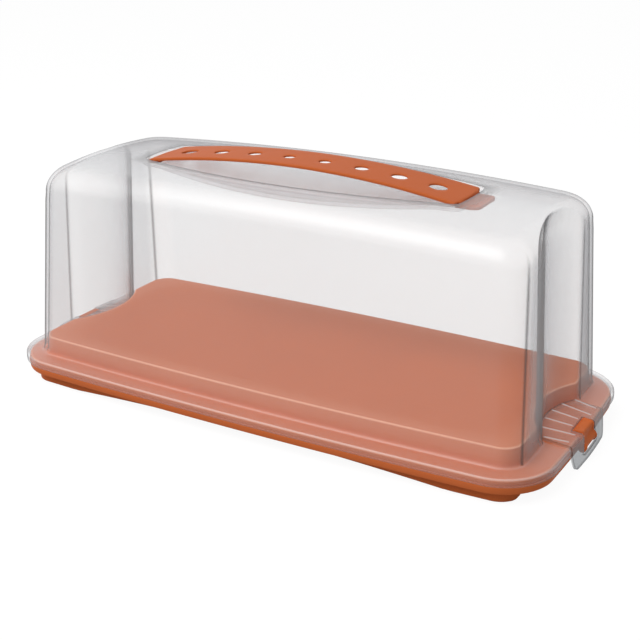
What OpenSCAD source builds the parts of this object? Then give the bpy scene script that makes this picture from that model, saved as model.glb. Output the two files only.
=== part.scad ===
// Loaf cake carrier: a moulded tray with a raised serving deck, a clear drafted hood
// that drops over it, two sprung end clips that hook under catches on the tray, and a
// perforated carrying strap snapped into a shallow finger well in the roof.
// Millimetres, +X along the length, +Z up, origin on the table under the middle.

/* [Tray] */
// Length of the rim between the end bulges
rim_l = 346; // [300:1:420]
// Width of the rim at its corners
rim_w = 152; // [130:1:190]
// How far each long side bulges in the middle
side_bow = 4.3; // [0:0.1:8]
// How far each end bulges in the middle
end_bow = 2.3; // [0:0.1:4]
// Corner radius of the rim
rim_r = 27; // [18:1:40]
// Height of the rim's upper face
rim_z = 15.4; // [12:0.1:20]
// Height of the serving deck above the rim
deck_rise = 11.8; // [8:0.1:20]
// Width of the gutter between rim and deck at the ends
end_gutter = 13.6; // [12:0.1:20]
// Width of the gutter between rim and deck on the long sides
side_gutter = 12.3; // [11:0.1:20]
// Corner radius of the serving deck
deck_r = 11; // [8:0.5:20]
// Wall thickness of the tray
tray_t = 2.2; // [1.6:0.1:3]
// Lower edge of the tray's skirt
skirt_z = 7; // [6:0.1:9]
// Distance the lower skirt stands outside the rim
ledge = 1; // [0.6:0.1:1.2]

/* [Feet] */
// Distance the standing rib lies inside the rim on the long sides
foot_inset = 4.6; // [3:0.1:8]
// Distance the standing rib lies inside the rim at the ends
foot_end_inset = 11; // [8:0.1:12]
// Corner radius of the standing rib
foot_r = 12; // [10:1:24]
// Length of the long sides' arch between the feet
arch_l = 250; // [150:1:280]
// Height of the long sides' arch
arch_h = 5; // [3:0.1:6]
// Length of the ends' arch between the feet
end_arch_l = 130; // [80:1:136]
// Height of the ends' arch
end_arch_h = 6.2; // [3:0.1:6.4]

/* [End bays] */
// Depth of the hollow in each end
bay_d = 10; // [6:0.5:14]
// Radius of the hollow
bay_r = 56; // [45:1:80]
// Radius of the shoulders beside the hollow
shoulder_r = 5; // [4:0.5:8]

/* [Hood] */
// Height of the roof over the middle of the carrier
hood_z = 141.2; // [110:0.2:200]
// Wall thickness of the hood
hood_t = 1.8; // [1.4:0.1:2.5]
// Clearance between the deck's edge and the inside of the hood
hood_gap = 1.4; // [1.3:0.1:2]
// Width gained per millimetre of height on the long sides
side_draft = 0.076; // [0.03:0.002:0.12]
// Length gained per millimetre of height on the ends
end_draft = 0.055; // [0.03:0.005:0.1]
// Radius between walls and roof
roof_r = 13.5; // [10:0.5:20]
// Drop of the roof from its middle to 100 mm along
roof_drop = 2; // [0:0.1:5]
// Drop of the roof from its middle to 50 mm across
roof_crown = 2.9; // [0:0.1:4]
// Height of the flange's upper face above the tray's rim
flange_rise = 1.6; // [1.4:0.1:2.5]
// Depth of the hood's skirt
hood_skirt_h = 5; // [4:0.1:5.5]
// Clearance between the tray's rim and the hood's skirt
skirt_gap = 0.5; // [0.3:0.1:0.8]

/* [Finger well] */
// Clearance around the strap's shoulders
well_gap = 1.5; // [0.8:0.1:4]
// Extra width of each side in the middle
well_bow = 16; // [8:0.5:22]
// Depth at the ends
well_end_d = 2.7; // [2.5:0.1:5]
// Extra depth in the middle
well_d = 6.6; // [4:0.2:14]
// Length of the deeper stretch
well_deep_l = 180; // [120:1:200]

/* [Strap] */
// Length between the strap's shoulders
strap_l = 201; // [150:1:220]
// Width of the strap in the middle
strap_w = 33; // [26:0.5:36]
// Extra width of each edge at the shoulders
strap_flare = 1.5; // [0:0.1:2.5]
// Thickness of the strap
strap_t = 1.8; // [1.6:0.1:3]
// Rise of the strap over its ends
strap_rise = 8.2; // [4:0.1:16]
// Number of finger holes
hole_n = 8; // [4:1:10]
// Diameter of the holes nearest the strap's ends
hole_end_d = 10.4; // [7:0.1:13]
// Diameter of the two holes in the middle
hole_mid_d = 7.2; // [5:0.1:10]
// How far each end of the strap bulges in the middle
strap_bulge = 1.5; // [0:0.1:1.6]
// Reach of the snap tongue past the right shoulder
tongue_l = 12; // [8:0.5:16]
// Reach of the hook past the left shoulder
hook_l = 5.5; // [5:0.5:8]
// Width of tongue and hook
tongue_w = 27; // [16:0.5:30]

/* [Clips] */
// Width of each clip
clip_w = 54; // [40:1:60]
// Thickness of each clip
clip_t = 1.7; // [1.3:0.1:2.2]
// Radius of the clip's outer edge in plan
clip_r = 320; // [280:5:400]
// Distance the clip's outer edge stands outside the hood's skirt
clip_out = 1; // [0.8:0.1:2]
// Height of the clip's upper face above the flange at its root
clip_root_rise = 3; // [2.5:0.1:5]
// Height of the clip's upper face above the flange at its outer edge
clip_edge_rise = 0.8; // [0.8:0.1:2]
// Lower edge of the clip's flap
flap_z = 2.2; // [1.5:0.1:4]
// Outward lean of the flap over its height
flap_flare = 2.1; // [1:0.1:4]
// Width of the clip's window
window_w = 19; // [14:0.5:26]
// Height of the bar below the window
bar_h = 3.4; // [2.5:0.1:5]
// Width of the raised ribs on each clip
clip_rib = 1.3; // [0.8:0.1:2]

/* [Hidden] */
$fn = 48;

side_n = 6;
corner_n = 8;
bay_n = 5;
shoulder_n = 3;
flat_n = 2;
roll_n = 6;
rim_a = rim_l / 2;
rim_b = rim_w / 2;
deck_a = rim_a - end_gutter;
deck_b = rim_b - side_gutter;
deck_z = rim_z + deck_rise;
flange_z = rim_z + flange_rise;
hood_skirt_z = flange_z - hood_skirt_h;
foot_a = rim_a - foot_end_inset;
foot_b = rim_b - foot_inset;
wall_off = hood_gap + hood_t;
fit = 0.3;

// Clip, seen from the right end
bay_x = deck_a + bay_r - bay_d;
notch_r = bay_r - wall_off - 0.2;
root_r = notch_r - fit;
clip_x = rim_a + end_bow + skirt_gap + hood_t + clip_out;
clip_root_z = flange_z + clip_root_rise;
clip_edge_z = flange_z + clip_edge_rise;
window_x = clip_x - 7.6;
bar_z = flap_z + bar_h;
nose_w = window_w - 2;

// Strap
strap_e = strap_l / 2;
strap_end_w = strap_w + 2 * strap_flare;
strap_r = (strap_rise * strap_rise + strap_e * strap_e) / (2 * strap_rise);
strap_z = roof(strap_e, 0) - well_end_d + fit / 2 + strap_t + strap_rise;
tongue_z = roof(strap_e + tongue_l, tongue_w / 2) - hood_t - fit;
tongue_t = 1.8;
well_a = strap_e + 2.5;
well_b = strap_end_w / 2 + well_gap;

// ---- Outlines -------------------------------------------------------------
// Every outline is a quarter, from the end's middle to the side's middle, which is
// then mirrored. All quarters have the same number of points, so any two can be
// joined by a skin.

function arc(c, r, a0, a1, n, first) =
    [for (i = [first : n]) c + r * [cos(a0 + (a1 - a0) * i / n), sin(a0 + (a1 - a0) * i / n)]];

// Half-width at which the hollow's shoulder meets the straight part of the end
function shoulder_y(s, r, rs) = sqrt(pow(r + rs, 2) - pow(r - s + rs, 2));

// Quarter with straight ends that have a hollow of depth s and radius r
function bay_quarter(a, b, rc, s, r, rs) =
    let (
        yc = shoulder_y(s, r, rs),
        turn = asin(yc / (r + rs))
    )
    concat(
        arc([a + r - s, 0], r, 180, 180 - turn, bay_n, 0),
        arc([a - rs, yc], rs, -turn, 0, shoulder_n, 1),
        [for (i = [1 : flat_n]) [a, yc + (b - rc - yc) * i / flat_n]],
        arc([a - rc, b - rc], rc, 0, 90, corner_n, 1),
        [for (i = [1 : side_n]) [(a - rc) * (1 - i / side_n), b]]
    );

// Quarter without a hollow, its end points spread like those of the one above
function plain_quarter(a, b, rc) =
    let (n = bay_n + shoulder_n + flat_n)
    concat(
        [for (i = [0 : n]) [a, (b - rc) * i / n]],
        arc([a - rc, b - rc], rc, 0, 90, corner_n, 1),
        [for (i = [1 : side_n]) [(a - rc) * (1 - i / side_n), b]]
    );

// Bulges a quarter's side by sb and its end by eb
function bulged(q, a, b, sb, eb) =
    [for (p = q) [p[0] + eb * (1 - pow(p[1] / b, 2)), p[1] + sb * (1 - pow(p[0] / a, 2)) * p[1] / b]];

function whole(q) =
    let (n = len(q) - 1)
    concat(
        [for (i = [0 : n]) q[i]],
        [for (i = [n - 1 : -1 : 0]) [-q[i][0], q[i][1]]],
        [for (i = [1 : n]) [-q[i][0], -q[i][1]]],
        [for (i = [n - 1 : -1 : 1]) [q[i][0], -q[i][1]]]
    );

function rim_ring(off) =
    whole(bulged(plain_quarter(rim_a + off, rim_b + off, rim_r + off),
        rim_a + off, rim_b + off, side_bow, end_bow));
function foot_ring(off) =
    whole(bulged(plain_quarter(foot_a + off, foot_b + off, foot_r + off),
        foot_a + off, foot_b + off, side_bow, end_bow));
function deck_ring(off) =
    whole(bulged(bay_quarter(deck_a + off, deck_b + off, deck_r + off, bay_d, bay_r - off, shoulder_r + off),
        deck_a + off, deck_b + off, side_bow, 0));
function oval_ring(a, b) =
    whole(bulged(plain_quarter(a, b, 20), a, b, side_bow, 3));

// Hood wall at height z, moved inward by off; fade flattens the hollow towards the roof
function wall_ring(z, off, fade = 0) =
    let (
        a = deck_a + wall_off - end_draft * (z - flange_z) - off,
        b = deck_b + wall_off - side_draft * (z - flange_z) - off,
        s = max(0.6, bay_d * (1 - fade)),
        rs = shoulder_r + wall_off - min(off, hood_t)
    )
    whole(bulged(bay_quarter(a, b, deck_r + wall_off - off * 0.5, s, bay_r - wall_off + off, rs),
        a, b, side_bow, 0));

// Finger well's outline, grown by off; its sides close in by dip in the middle
function well_ring(off, dip = 0) =
    let (
        a = well_a + off - 0.2 * dip,
        b = well_b + off - 0.15 * dip
    )
    whole(bulged(plain_quarter(a, b, 3), a, b, well_bow - 0.85 * dip, 1.5));

// ---- Heights --------------------------------------------------------------

function at(ring, z) = [for (p = ring) [p[0], p[1], z]];
function roof(x, y) = hood_z - roof_drop * pow(x / 100, 2) - roof_crown * pow(y / 50, 2);
function on_roof(ring, down) = [for (p = ring) [p[0], p[1], roof(p[0], p[1]) - down]];
function well_depth(x) = well_end_d + well_d * max(0, 1 - pow(2 * x / min(well_deep_l, strap_l - 21), 2));
// Height inside the well: share 0 is the roof, share 1 the well's floor
function in_well(ring, share, down) =
    [for (p = ring) [p[0], p[1], roof(p[0], p[1]) * (1 - share)
        + (roof(p[0], 0) - well_depth(p[0])) * share - down]];
// Arch of length l and height h, rising more abruptly the higher its order k
function arch(t, l, h, k) = h * max(0, 1 - pow(abs(2 * t / l), k));
function foot_z(p) = abs(p[0]) > arch_l / 2 ? arch(p[1], end_arch_l, end_arch_h, 6)
    : arch(p[0], arch_l, arch_h, 2);
function on_feet(ring) = [for (p = ring) [p[0], p[1], foot_z(p)]];

// ---- Skins ----------------------------------------------------------------

// Closed skin through a list of rings; the first and last rings are capped by rungs
// that run straight across, from each point to its mirror image
module skin(rings) {
    n = len(rings[0]);
    last = (len(rings) - 1) * n;
    h = n / 2;
    sides = [for (k = [0 : len(rings) - 2]) for (i = [0 : n - 1])
        let (j = (i + 1) % n, p = k * n, q = (k + 1) * n)
        each [[p + i, p + j, q + j], [p + i, q + j, q + i]]];
    first_cap = [for (i = [1 : h - 2])
        each [[i, n - i - 1, i + 1], [i, n - i, n - i - 1]]];
    last_cap = [for (i = [1 : h - 2])
        each [[last + i, last + i + 1, last + n - i - 1], [last + i, last + n - i - 1, last + n - i]]];
    tips = [[0, n - 1, 1], [h - 1, h + 1, h],
        [last, last + 1, last + n - 1], [last + h - 1, last + h, last + h + 1]];
    polyhedron([for (r = rings) each r], concat(sides, first_cap, last_cap, tips));
}

// ---- Tray -----------------------------------------------------------------

module tray_shell() {
    under = rim_z - tray_t;
    skin([
        at(oval_ring(deck_a - 18, deck_b - 12), deck_z),
        at(deck_ring(-1), deck_z),
        at(deck_ring(-0.3), deck_z - 0.3),
        at(deck_ring(0), deck_z - 1),
        at(deck_ring(0.6), rim_z + 2),
        at(deck_ring(1.2), rim_z + 0.5),
        at(deck_ring(2.6), rim_z),
        at(rim_ring(-1.2), rim_z),
        at(rim_ring(-0.35), rim_z - 0.35),
        at(rim_ring(0), rim_z - 1.2),
        at(rim_ring(0), hood_skirt_z - 0.4),
        at(rim_ring(ledge - 0.3), hood_skirt_z - 0.4),
        at(rim_ring(ledge), hood_skirt_z - 0.8),
        at(rim_ring(ledge - 0.5), skirt_z + 0.4),
        at(rim_ring(ledge - 0.8), skirt_z),
        at(rim_ring(ledge - tray_t), skirt_z),
        at(rim_ring(-tray_t), hood_skirt_z - 2),
        at(rim_ring(-tray_t), under),
        at(foot_ring(0.4), under),
        on_feet(foot_ring(0)),
        on_feet(foot_ring(-1.9)),
        at(foot_ring(-2.3), under),
        at(deck_ring(0.6 - tray_t + 1.2), under),
        at(deck_ring(0.6 - tray_t), under + 1.2),
        at(deck_ring(-tray_t), deck_z - tray_t),
        at(oval_ring(deck_a - 20, deck_b - 14), deck_z - tray_t)
    ]);
}

// Catch at one end, drawn in section: a raised pad, a waist and a hooked bulge
module catch_nose() {
    rotate([90, 0, 0])
        linear_extrude(nose_w, center = true)
            polygon([
                [clip_x - 8, rim_z - 2],
                [clip_x - 7.2, rim_z - 0.4],
                [clip_x - 6.6, clip_edge_z - 0.2],
                [clip_x - 6, clip_edge_z],
                [clip_x - 2, clip_edge_z - 0.3],
                [clip_x - 1.2, clip_edge_z - 1.1],
                [clip_x - 1, clip_edge_z - 2.2],
                [clip_x - 1.1, clip_edge_z - 4],
                [clip_x - 0.7, bar_z + 7],
                [clip_x + 0.3, bar_z + 5.8],
                [clip_x + 1, bar_z + 4.9],
                [clip_x + 1.2, bar_z + 4],
                [clip_x + 0.9, bar_z + 2.8],
                [clip_x + 0.1, bar_z + 1.5],
                [clip_x - 1.4, bar_z + 0.8],
                [clip_x - 3, bar_z + 2.2],
                [clip_x - 4.4, bar_z + 4.2],
                [clip_x - 4.4, rim_z - 2]
            ]);
}

module tray() {
    color("sienna") {
        union() {
            tray_shell();
            catch_nose();
            mirror([1, 0, 0]) catch_nose();
        }
    }
}

// ---- Hood -----------------------------------------------------------------

// Ring of the roll between wall and roof at an angle from the upright, t inside the
// outer face; the end's hollow runs out as the roll turns over
function roll_ring(angle, t) =
    let (
        inward = t + (roof_r - t) * (1 - cos(angle)),
        down = t + (roof_r - t) * (1 - sin(angle)),
        fade = min(1, 1.5 * (1 - cos(angle)))
    )
    on_roof(wall_ring(hood_z - roof_r - 5, inward, fade), down);

module hood_shell() {
    turns = [for (i = [0 : roll_n]) 90 * i / roll_n];
    inner_z = flange_z - hood_t + 0.8;
    skirt_out = skirt_gap + hood_t;
    skin([
        in_well(well_ring(0, 6.5), 1, 0),
        in_well(well_ring(0, 4), 0.93, 0),
        in_well(well_ring(0, 1), 0.18, 0),
        on_roof(well_ring(0.6), 0),
        each [for (i = [roll_n : -1 : 0]) roll_ring(turns[i], 0)],
        at(wall_ring(flange_z + 2, 0), flange_z + 2),
        at(wall_ring(flange_z + 0.6, -0.6), flange_z + 0.6),
        at(wall_ring(flange_z, -2), flange_z),
        at(rim_ring(skirt_out - 1.2), flange_z),
        at(rim_ring(skirt_out - 0.35), flange_z - 0.35),
        at(rim_ring(skirt_out), flange_z - 1.2),
        at(rim_ring(skirt_out), hood_skirt_z),
        at(rim_ring(skirt_gap), hood_skirt_z),
        at(rim_ring(skirt_gap), inner_z - 0.3),
        at(rim_ring(skirt_gap - 0.8), inner_z),
        at(wall_ring(flange_z, 0.4), inner_z),
        at(wall_ring(flange_z, hood_t), flange_z + 0.8),
        each [for (i = [0 : roll_n]) roll_ring(turns[i], hood_t)],
        on_roof(well_ring(hood_t + 0.6), hood_t),
        in_well(well_ring(hood_t, 1), 0.18, hood_t),
        in_well(well_ring(hood_t, 4), 0.93, hood_t),
        in_well(well_ring(hood_t, 6.5), 1, hood_t)
    ]);
}

// Notch in the flange and skirt that leaves room for a clip
module clip_notch() {
    intersection() {
        translate([bay_x, 0, skirt_z]) cylinder(h = clip_root_z + 1 - skirt_z, r = notch_r, $fn = 180);
        translate([deck_a - 20, -clip_w / 2 - 0.4, skirt_z]) cube([50, clip_w + 0.8, 40]);
    }
}

// Slot through the well's end, under the lip of the roof, for a tongue of the strap
module tongue_slot() {
    rotate([90, 0, 0])
        linear_extrude(tongue_w + 2 * fit, center = true)
            polygon([
                [strap_e - 1.9, tongue_z - 6],
                [strap_e - 1.9, tongue_z + 2.4],
                [well_a - 0.4, tongue_z + 2.4],
                [well_a + 0.2, tongue_z + 0.9],
                [well_a + 7, tongue_z + 0.3],
                [well_a + 7, tongue_z - 6]
            ]);
}

module hood() {
    color("aliceblue") {
        difference() {
            hood_shell();
            clip_notch();
            mirror([1, 0, 0]) clip_notch();
            tongue_slot();
            mirror([1, 0, 0]) tongue_slot();
        }
    }
}

// ---- Strap ----------------------------------------------------------------

// Band that follows the strap's arc, between two radii
module band(r0, r1, w, half) {
    translate([0, 0, strap_z - strap_r])
        rotate([90, 0, 0])
            rotate([0, 0, 90 - half])
                rotate_extrude(angle = 2 * half, $fn = 720)
                    translate([r0, -w / 2]) square([r1 - r0, w]);
}

// The strap's plan: a slight waist, with eased corners
function strap_edge(x) = strap_w / 2 + strap_flare * pow(x / strap_e, 2);
module strap_plan() {
    n = 8;
    edge = [for (i = [-n : n]) let (x = (strap_e - 1.2) * i / n) [x, strap_edge(x)]];
    w = strap_edge(strap_e) - 1.2;
    end = [for (i = [n : -1 : -n]) [strap_e + strap_bulge * (1 - pow(i / n, 2)), w * i / n]];
    polygon(concat(
        edge,
        end,
        [for (i = [2 * n : -1 : 0]) [edge[i][0], -edge[i][1]]],
        [for (i = [2 * n : -1 : 0]) [-end[i][0], end[i][1]]]
    ));
}

// Tongue at one end: a step down through the slot and a flat that lies under the roof
module tongue(reach) {
    end_z = strap_z - strap_rise;
    r = min(5, reach - 2.5);
    intersection() {
        rotate([90, 0, 0])
            linear_extrude(tongue_w, center = true)
                polygon([
                    [strap_e - 1.5, tongue_z - tongue_t],
                    [strap_e + reach, tongue_z - tongue_t],
                    [strap_e + reach, tongue_z],
                    [strap_e + 2, tongue_z],
                    [strap_e + 1.6, tongue_z + 0.4],
                    [strap_e + 1.6, end_z - 1],
                    [strap_e + 0.6, end_z],
                    [strap_e - 1.5, end_z - 0.1]
                ]);
        translate([0, 0, tongue_z - 10])
            linear_extrude(30) {
                translate([strap_e - 4, -tongue_w / 2]) square([reach + 4 - r, tongue_w]);
                translate([strap_e - 4, r - tongue_w / 2]) square([reach + 4, tongue_w - 2 * r]);
                translate([strap_e + reach - r, tongue_w / 2 - r]) circle(r = r);
                translate([strap_e + reach - r, r - tongue_w / 2]) circle(r = r);
            }
    }
}

module strap() {
    half = asin((strap_e + 2.4) / strap_r);
    pitch = (strap_l - 11) / hole_n;
    color("chocolate") {
        difference() {
            union() {
                intersection() {
                    band(strap_r - strap_t, strap_r, strap_end_w + 4, half);
                    translate([0, 0, strap_z - 40]) linear_extrude(60) strap_plan();
                }
                tongue(tongue_l);
                mirror([1, 0, 0]) tongue(hook_l);
            }
            band(strap_r - strap_t - 2, strap_r - strap_t + 0.6, strap_w - 6, half * 0.86);
            for (i = [0 : hole_n - 1]) {
                off = i - (hole_n - 1) / 2;
                share = (abs(off) - 0.5) / max(1, hole_n / 2 - 1);
                translate([off * pitch, 0, strap_z - 30])
                    cylinder(h = 40, d = hole_mid_d + (hole_end_d - hole_mid_d) * share);
            }
        }
    }
}

// ---- Clips ----------------------------------------------------------------

// Height of the clip's upper face at a distance from the middle of its arc
function panel_z(r) = clip_edge_z + (clip_root_z - clip_edge_z) * (clip_r - 1.6 - r) / 24;

// Section of panel and flap, revolved about the middle of the clip's arc
module clip_profile() {
    r0 = clip_r - 30;
    r1 = clip_r - 1.6;
    rake = clip_t * 1.01;
    polygon(concat(
        [[r0, panel_z(r0) - clip_t], [r0, panel_z(r0)]],
        [[r1 - 0.2, clip_edge_z]],
        [for (i = [1 : 4]) [r1 + 1.6 * sin(i * 20), clip_edge_z - 1.6 * (1 - cos(i * 20))]],
        [[clip_r + flap_flare, flap_z + 0.3]],
        [[clip_r + flap_flare - 0.3, flap_z], [clip_r + flap_flare - rake, flap_z]],
        [[clip_r - rake + 0.2, clip_edge_z - 3], [r1 - 0.6, clip_edge_z - clip_t]]
    ));
}

// The clip's front view: straight at the top, drawn in below, with rounded corners
module clip_front() {
    w = clip_w / 2;
    polygon([
        [-w, clip_root_z + 4],
        [-w, clip_edge_z - 5],
        [-w + 1.6, flap_z + 5.5],
        [-w + 2.8, flap_z + 2.2],
        [-w + 4, flap_z + 0.7],
        [-w + 5.8, flap_z - 0.2],
        [w - 5.8, flap_z - 0.2],
        [w - 4, flap_z + 0.7],
        [w - 2.8, flap_z + 2.2],
        [w - 1.6, flap_z + 5.5],
        [w, clip_edge_z - 5],
        [w, clip_root_z + 4]
    ]);
}

// Window for the catch, wider towards the bar
module clip_window() {
    w = window_w / 2;
    polygon([
        [-w, clip_root_z + 4],
        [-w, clip_edge_z - 4],
        [-w - 2, bar_z + 1.5],
        [-w - 1, bar_z],
        [w + 1, bar_z],
        [w + 2, bar_z + 1.5],
        [w, clip_edge_z - 4],
        [w, clip_root_z + 4]
    ]);
}

// Raised rib on the panel from p to q
module panel_rib(p, q) {
    c = [clip_x - clip_r, 0];
    u = [p[0], p[1], panel_z(norm(p - c)) - 0.1];
    v = [q[0], q[1], panel_z(norm(q - c)) - 0.1];
    d = v - u;
    translate(u)
        rotate([0, acos(d[2] / norm(d)), atan2(d[1], d[0])])
            cylinder(h = norm(d), r = clip_rib / 2, $fn = 24);
}

module clip() {
    half = asin((clip_w / 2 + 3) / (clip_r - 30));
    // inner end and outer end of each rib, from the middle outwards
    ribs = [
        [[clip_x - 23.4, 0.207 * clip_w / 2], [clip_x - 8.8, 0.178 * clip_w / 2]],
        [[clip_x - 21.2, 0.607 * clip_w / 2], [clip_x - 4.4, 0.519 * clip_w / 2]],
        [[clip_x - 16.9, 0.97 * clip_w / 2], [clip_x - 4.6, 0.874 * clip_w / 2]]
    ];
    difference() {
        intersection() {
            translate([clip_x - clip_r, 0, 0])
                rotate([0, 0, -half])
                    rotate_extrude(angle = 2 * half, $fn = 720) clip_profile();
            translate([bay_x, 0, 0]) cylinder(h = 60, r = root_r, $fn = 180);
            rotate([90, 0, 90]) translate([0, 0, deck_a - 30]) linear_extrude(60) clip_front();
        }
        rotate([90, 0, 90]) translate([0, 0, window_x]) linear_extrude(30) clip_window();
    }
    for (r = ribs) {
        panel_rib(r[0], r[1]);
        panel_rib([r[0][0], -r[0][1]], [r[1][0], -r[1][1]]);
    }
}

module clip_right() {
    color("lightsteelblue") clip();
}

module clip_left() {
    color("lightsteelblue") mirror([1, 0, 0]) clip();
}

tray();
hood();
strap();
clip_right();
clip_left();
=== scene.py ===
"""Loaf cake carrier: terracotta tray, clear lift-off hood with two end clips, and a
perforated strap over a finger well. Lengths are worked out in millimetres and stored
in metres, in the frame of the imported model."""

import math

import bmesh
import bpy
import numpy as np
from mathutils import Matrix, Vector


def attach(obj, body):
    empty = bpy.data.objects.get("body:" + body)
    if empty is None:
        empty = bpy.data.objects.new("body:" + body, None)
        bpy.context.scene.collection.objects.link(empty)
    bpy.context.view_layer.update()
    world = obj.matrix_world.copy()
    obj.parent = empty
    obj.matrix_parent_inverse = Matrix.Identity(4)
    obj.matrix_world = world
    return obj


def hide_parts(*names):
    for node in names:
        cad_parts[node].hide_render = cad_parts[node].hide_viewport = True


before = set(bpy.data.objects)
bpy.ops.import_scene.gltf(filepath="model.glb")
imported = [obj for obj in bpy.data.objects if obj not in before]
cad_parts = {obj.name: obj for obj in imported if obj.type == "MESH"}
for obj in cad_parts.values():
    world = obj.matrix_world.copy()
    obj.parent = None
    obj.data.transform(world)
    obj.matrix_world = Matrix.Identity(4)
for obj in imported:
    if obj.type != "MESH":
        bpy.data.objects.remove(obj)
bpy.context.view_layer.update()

# ---------------------------------------------------------------- camera, light, floor
# The camera stands in front of the right end and looks down on the roof. A white world
# and one broad lamp from the front left, high up, light the carrier.

azimuth, elevation, roll = math.radians(29.93), math.radians(21.75), math.radians(-0.225)
target, distance = Vector((0.0057, 0.0, 0.0473)), 0.7104
frame_px, focal_px, middle_px = 640, 1169.55, 316.48
floor_half = 6
back = Vector((
    math.sin(azimuth) * math.cos(elevation),
    -math.cos(azimuth) * math.cos(elevation),
    math.sin(elevation),
))
right = Vector((math.cos(azimuth), math.sin(azimuth), 0))
turned = Matrix((right, back.cross(right), back)).transposed().to_4x4()
camera = bpy.data.objects.new("camera", bpy.data.cameras.new("camera"))
bpy.context.collection.objects.link(camera)
camera.matrix_world = (
    Matrix.Translation(target + back * distance)
    @ Matrix.Rotation(roll, 4, back)
    @ turned
)
camera.data.lens = focal_px / frame_px * camera.data.sensor_width
camera.data.shift_x = (frame_px / 2 - middle_px) / frame_px
bpy.context.scene.camera = camera
bpy.context.scene.view_settings.view_transform = "Standard"
bpy.context.scene.cycles.transparent_max_bounces = 32


def add(tree, kind, **sockets):
    """A node of that kind with its named input sockets set to values or linked to
    outputs; a name like _2 means the socket's number."""
    made = tree.nodes.new(kind)
    for name, value in sockets.items():
        key = int(name[1:]) if name[0] == "_" else name.replace("_", " ")
        socket = made.inputs[key]
        if isinstance(value, bpy.types.NodeSocket):
            tree.links.new(value, socket)
        else:
            socket.default_value = value
    return made


def maths(tree, operation, a, b=0.0):
    """One step of arithmetic on two numbers or outputs."""
    made = add(tree, "ShaderNodeMath", _0=a, _1=b)
    made.operation = operation
    return made.outputs[0]


def sees_background(tree):
    """1 for rays that should show the white background, 0 for rays that carry light."""
    path = add(tree, "ShaderNodeLightPath")
    straight = maths(
        tree, "MAXIMUM", path.outputs["Is Camera Ray"], path.outputs["Is Glossy Ray"])
    return maths(tree, "MAXIMUM", straight, path.outputs["Is Transmission Ray"])


world = bpy.data.worlds.new("white surround")
bpy.context.scene.world = world
world.use_nodes = True
tree = world.node_tree
surround = tree.nodes["Background"]
surround.inputs["Color"].default_value = (1, 1, 1, 1)
strength = add(
    tree, "ShaderNodeMapRange", Value=sees_background(tree), To_Min=0.45, To_Max=1.0)
tree.links.new(strength.outputs[0], surround.inputs["Strength"])


def soft_lamp(name, place, width, height, watts):
    """An area lamp of that width and height at a place, turned to the carrier."""
    lamp = bpy.data.lights.new(name, "AREA")
    lamp.shape, lamp.size, lamp.size_y, lamp.energy = "RECTANGLE", width, height, watts
    made = bpy.data.objects.new(name, lamp)
    made.location = place
    made.rotation_euler = (Vector(place) - target).to_track_quat("Z", "Y").to_euler()
    bpy.context.collection.objects.link(made)


soft_lamp("broad lamp front left", (-0.41, -0.89, 1.31), 1.3, 1.1, 17.6)

floor_mesh = bpy.data.meshes.new("floor")
corners = [(x * floor_half, y * floor_half, 0) for x, y in ((-1, -1), (1, -1), (1, 1), (-1, 1))]
floor_mesh.from_pydata(corners, [], [(0, 1, 2, 3)])
floor = bpy.data.objects.new("floor", floor_mesh)
bpy.context.collection.objects.link(floor)
white = bpy.data.materials.new("white floor")
white.use_nodes = True
tree = white.node_tree
tree.nodes.clear()
painted = add(tree, "ShaderNodeBsdfDiffuse", Color=(0.5, 0.5, 0.5, 1))
glow = add(tree, "ShaderNodeEmission", Color=(1, 1, 1, 1), Strength=1.17)
share = maths(tree, "MULTIPLY", sees_background(tree), 0.8)
mixed = add(tree, "ShaderNodeMixShader", _0=share, _1=painted.outputs[0], _2=glow.outputs[0])
add(tree, "ShaderNodeOutputMaterial", Surface=mixed.outputs[0])
floor_mesh.materials.append(white)

# ------------------------------------------------------------------------------- tray
# One injection moulding in satin terracotta plastic: a rim with a turned-down skirt, a
# gutter, a raised serving deck with a hollow in each end, and a standing rib below that
# arches clear of the table between its four corners.

rim_a, rim_b, rim_r, rim_z = 173.0, 76.0, 27.0, 15.4
side_bow, end_bow = 4.3, 2.3
deck_a, deck_b, deck_r, deck_z = 159.4, 63.7, 11.0, 27.2
bay_d, bay_r, shoulder_r = 10.0, 56.0, 5.0
foot_a, foot_b, foot_r = 162.0, 71.4, 12.0
arch_l, arch_h, end_arch_l, end_arch_h = 250.0, 5.0, 130.0, 6.2
tray_t, skirt_z, ledge, skirt_top = 2.2, 7.0, 1.0, 12.0
oval_r, oval_bow = 20, 3
bay_n, shoulder_n, flat_n, corner_n, side_n = 10, 6, 4, 14, 22
crisp = math.radians(35)


def arc(cx, cy, radius, start, end, count):
    """Points of an arc after its first: centre plus radius times cosine and sine."""
    a = np.linspace(start, end, count + 1)[1:]
    return np.c_[cx + radius * np.cos(a), cy + radius * np.sin(a)]


def bay_quarter(a, b, corner, depth, radius, shoulder):
    """Quarter outline from the end's middle to the side's middle: the arc of the end's
    hollow, a convex shoulder that touches it, a straight, a round corner, the side."""
    y = math.sqrt((radius + shoulder) ** 2 - (radius - depth + shoulder) ** 2)
    turn = math.asin(y / (radius + shoulder))
    t = np.linspace(0, 1, flat_n + 1)[1:]
    s = np.linspace(0, 1, side_n + 1)[1:]
    return np.vstack([
        [[a - depth, 0]],
        arc(a + radius - depth, 0, radius, math.pi, math.pi - turn, bay_n),
        arc(a - shoulder, y, shoulder, -turn, 0, shoulder_n),
        np.c_[np.full(flat_n, a), y + (b - corner - y) * t],
        arc(a - corner, b - corner, corner, 0, math.pi / 2, corner_n),
        np.c_[(a - corner) * (1 - s), np.full(side_n, b)],
    ])


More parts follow.
